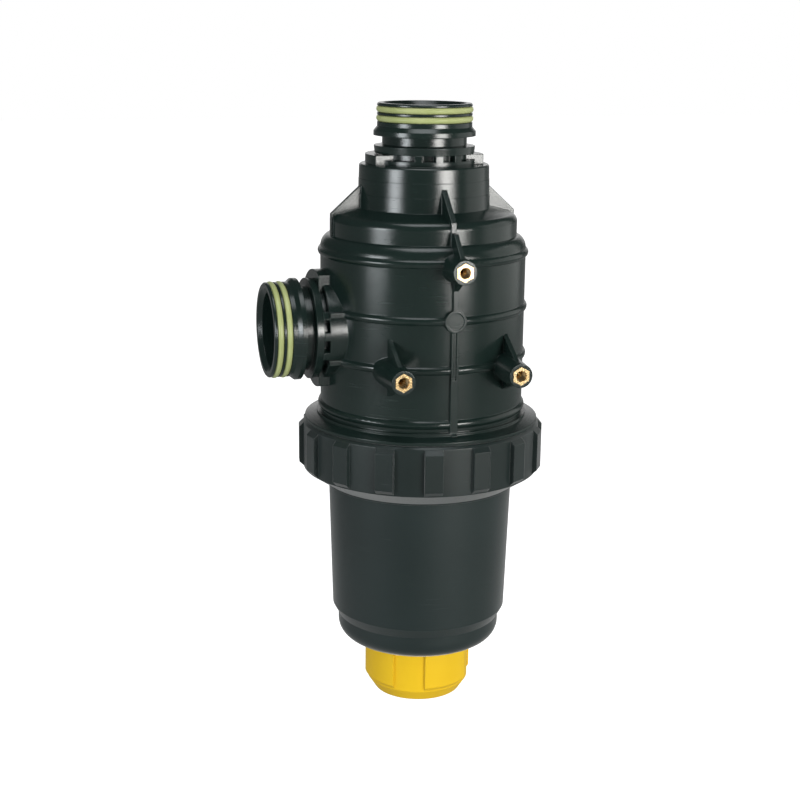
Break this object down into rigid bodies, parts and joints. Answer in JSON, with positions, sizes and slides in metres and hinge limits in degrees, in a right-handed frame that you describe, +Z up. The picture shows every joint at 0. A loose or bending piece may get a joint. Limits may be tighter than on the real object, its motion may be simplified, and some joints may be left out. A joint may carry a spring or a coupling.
{
  "type": "suction filter",
  "caption": "Sprayer suction filter with male fork couplings on top and side, a ribbed moulded head, bracket bosses, a ring nut, a bowl and a yellow cap that works the shut-off valve.",
  "frame": {"origin": "centre of the top coupling's mouth, on the filter's main axis", "axes": "+Z up out of the top coupling, -X out of the side coupling, -Y out of the mounting bosses"},
  "size_m": [0.2231, 0.1991, 0.4778],
  "materials": {
    "black_plastic": "semi-gloss moulded",
    "grey_plastic": "satin moulded",
    "yellow_plastic": "satin moulded",
    "cage_plastic": "satin moulded",
    "green_rubber": "satin rubber",
    "black_rubber": "matt rubber",
    "brass": "turned brass",
    "steel_mesh": "woven stainless wire",
    "spring_steel": "drawn stainless wire"
  },
  "bodies": {
    "head": {"upper_body": "black_plastic", "top_o_ring_outer": "green_rubber", "top_o_ring_inner": "green_rubber", "side_o_ring_outer": "green_rubber", "side_o_ring_inner": "green_rubber", "insert_top": "brass", "insert_left": "brass", "insert_right": "brass", "valve_seat": "black_plastic", "seat_gasket": "black_rubber", "cartridge_seal": "black_rubber"},
    "bowl_unit": {"bowl": "grey_plastic", "bowl_gasket": "black_rubber", "cap_seal": "black_rubber", "cartridge_head": "cage_plastic", "cartridge_foot": "cage_plastic", "cartridge_cage": "cage_plastic", "cartridge_mesh": "steel_mesh", "foot_gasket": "black_rubber"},
    "nut": {"ring_nut": "grey_plastic"},
    "rod": {"valve_rod": "grey_plastic"},
    "cap": {"drain_cap": "yellow_plastic"},
    "poppet": {"valve_poppet": "black_plastic", "poppet_seal": "black_rubber", "seal_nut": "black_plastic", "valve_spring": "spring_steel"}
  },
  "joints": [
    {"name": "bowl_lower", "type": "slide", "parent": "head", "child": "bowl_unit", "axis": [0, 0, -1], "range_m": [0, 0.02]},
    {"name": "nut_turn", "type": "hinge", "parent": "bowl_unit", "child": "nut", "pos_m": [0, 0, -0.27], "axis": [0, 0, -1], "range_deg": [0, 900]},
    {"name": "rod_lower", "type": "slide", "parent": "bowl_unit", "child": "rod", "axis": [0, 0, -1], "range_m": [0, 0.012]},
    {"name": "cap_turn", "type": "hinge", "parent": "rod", "child": "cap", "pos_m": [0, 0, -0.45], "axis": [0, 0, -1], "range_deg": [0, 540]},
    {"name": "valve_close", "type": "slide", "parent": "head", "child": "poppet", "axis": [0, 0, -1], "range_m": [0, 0.012], "deforming": ["valve_spring"]}
  ],
  "couplings": [
    {"joint": "bowl_lower", "follows": "nut_turn", "m_per_rad": 0.001273},
    {"joint": "rod_lower", "follows": "cap_turn", "m_per_rad": 0.001273},
    {"joint": "valve_close", "follows": "cap_turn", "m_per_rad": 0.001273}
  ]
}
